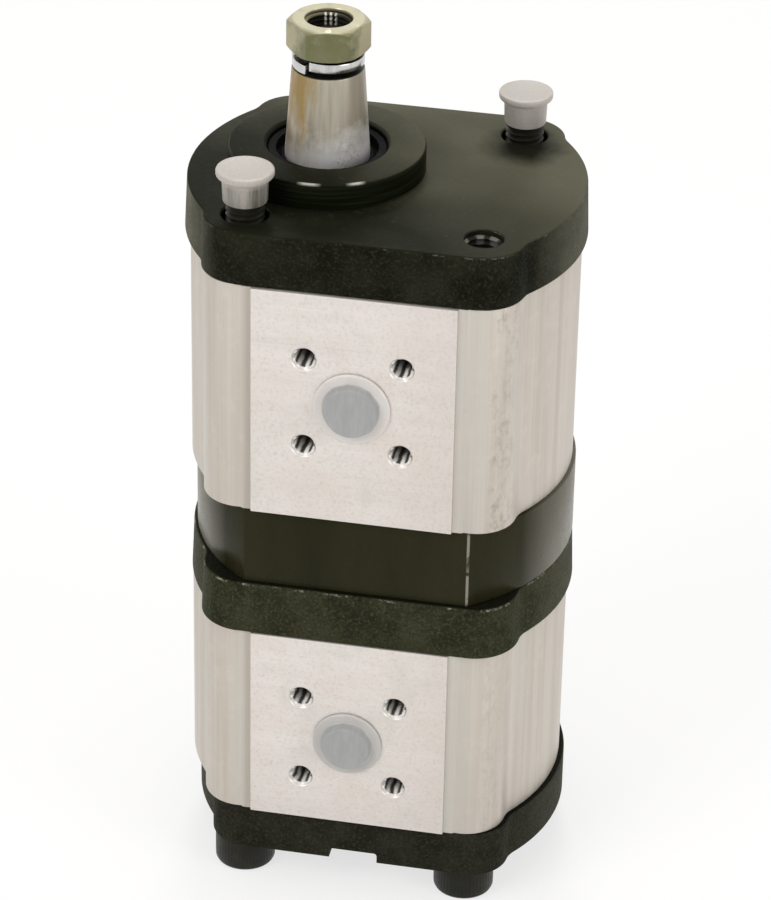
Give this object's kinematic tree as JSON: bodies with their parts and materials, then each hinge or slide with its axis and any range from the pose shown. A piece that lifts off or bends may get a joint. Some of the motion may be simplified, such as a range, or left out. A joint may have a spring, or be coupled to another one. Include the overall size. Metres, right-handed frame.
{
  "type": "tandem gear pump",
  "caption": "Hydraulic tandem gear pump: stacked aluminium gear housings between dark cast covers, tapered keyed drive shaft with nut, flanged pilot, plugged ports and capped long bolts.",
  "frame": {"origin": "on the plane under the four screw heads that the pump stands on, at the middle of the screw pattern", "axes": "+Z along the shafts towards the drive end; -Y out of the outlet port faces, +Y out of the inlet port faces; the drive shaft lies at -X"},
  "size_m": [0.1024, 0.0904, 0.2358],
  "materials": {
    "black_casting": "dark olive-black phosphated casting, rough sides and a smooth machined face",
    "machined_black": "smooth machined plate, blackened",
    "extruded_aluminium": "drawn sides with fine length-wise streaks, milled port pads",
    "block_aluminium": "machined",
    "ground_steel": "ground, lightly oiled",
    "spring_steel": "bright",
    "yellow_zinc": "olive-yellow zinc plating",
    "black_steel": "black oxide",
    "bronze": "plain bearing bronze",
    "black_rubber": "matt",
    "milky_plastic": "natural milky white, soft"
  },
  "bodies": {
    "casing": {"front_body_screw": "black_steel", "front_cover": "black_casting", "intermediate_cover": "machined_black", "left_thread_cap": "milky_plastic", "left_through_bolt": "black_steel", "lower_front_bearing_block": "block_aluminium", "lower_front_body_seal": "black_rubber", "lower_front_cover": "black_casting", "lower_front_drive_bush": "bronze", "lower_front_idler_bush": "bronze", "lower_housing": "extruded_aluminium", "lower_inlet_plug": "milky_plastic", "lower_outlet_plug": "milky_plastic", "lower_rear_bearing_block": "block_aluminium", "lower_rear_body_seal": "black_rubber", "lower_rear_drive_bush": "bronze", "lower_rear_idler_bush": "bronze", "rear_body_screw": "black_steel", "rear_cover": "black_casting", "right_thread_cap": "milky_plastic", "right_through_bolt": "black_steel", "seal_snap_ring": "black_steel", "shaft_seal": "black_rubber", "stage_seal": "black_rubber", "upper_front_bearing_block": "block_aluminium", "upper_front_body_seal": "black_rubber", "upper_front_drive_bush": "bronze", "upper_front_idler_bush": "bronze", "upper_housing": "extruded_aluminium", "upper_inlet_plug": "milky_plastic", "upper_outlet_plug": "milky_plastic", "upper_rear_bearing_block": "block_aluminium", "upper_rear_body_seal": "black_rubber", "upper_rear_drive_bush": "bronze", "upper_rear_idler_bush": "bronze"},
    "drive": {"upper_drive_gear_shaft": "ground_steel", "woodruff_key": "ground_steel", "spring_washer": "spring_steel", "shaft_nut": "yellow_zinc", "shaft_coupling": "black_steel", "lower_drive_gear": "ground_steel"},
    "upper_idler": {"upper_driven_gear": "ground_steel"},
    "lower_idler": {"lower_driven_gear": "ground_steel"}
  },
  "joints": [
    {"name": "drive_spin", "type": "hinge", "parent": "casing", "child": "drive", "pos_m": [-0.0156, 0, 0.1], "axis": [0, 0, 1], "continuous": true},
    {"name": "upper_idler_spin", "type": "hinge", "parent": "casing", "child": "upper_idler", "pos_m": [0.0156, 0, 0.1], "axis": [0, 0, 1], "continuous": true},
    {"name": "lower_idler_spin", "type": "hinge", "parent": "casing", "child": "lower_idler", "pos_m": [0.0156, 0, 0.05], "axis": [0, 0, 1], "continuous": true}
  ],
  "couplings": [
    {"joint": "upper_idler_spin", "follows": "drive_spin", "ratio": -1},
    {"joint": "lower_idler_spin", "follows": "drive_spin", "ratio": -1}
  ]
}
